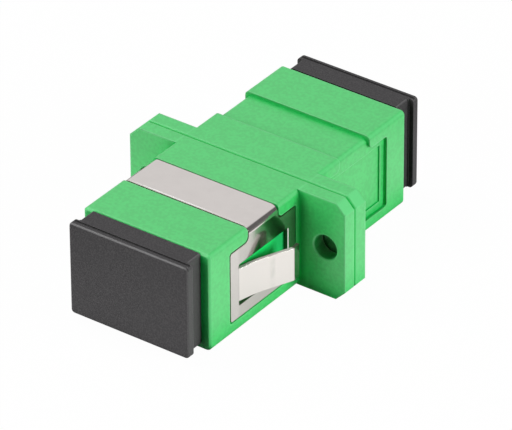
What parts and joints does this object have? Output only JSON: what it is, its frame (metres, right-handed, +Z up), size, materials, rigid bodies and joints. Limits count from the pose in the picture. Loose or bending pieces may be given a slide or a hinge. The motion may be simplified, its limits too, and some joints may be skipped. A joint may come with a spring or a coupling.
{
  "type": "sc fibre adapter",
  "caption": "Flanged simplex panel adapter that joins a pair of SC fibre connectors in a split sleeve, with a sprung steel panel clip and a push-in dust plug in each port.",
  "frame": {"origin": "middle of the body on the seam between the two housing halves", "axes": "+X to the right across the flange, +Y along the optical axis to the rear port, +Z up through the clip's band"},
  "size_m": [0.022, 0.0326, 0.0094],
  "materials": {
    "housing": "green moulded thermoplastic with a fine satin surface",
    "clip": "bright rolled stainless spring sheet",
    "insert": "natural off-white moulded thermoplastic",
    "sleeve": "ground white zirconia ceramic",
    "plug": "black moulded plastic with a fine spark-eroded texture"
  },
  "bodies": {
    "adapter": {"housing_front": "housing", "housing_rear": "housing", "panel_clip": "clip", "latch_insert_front": "insert", "latch_insert_rear": "insert", "alignment_sleeve": "sleeve"},
    "front_plug": {"dust_plug_front": "plug"},
    "rear_plug": {"dust_plug_rear": "plug"}
  },
  "joints": [
    {"name": "front_plug_pull", "type": "slide", "parent": "adapter", "child": "front_plug", "axis": [0, -1, 0], "range_m": [0, 0.014]},
    {"name": "rear_plug_pull", "type": "slide", "parent": "adapter", "child": "rear_plug", "axis": [0, 1, 0], "range_m": [0, 0.014]}
  ]
}
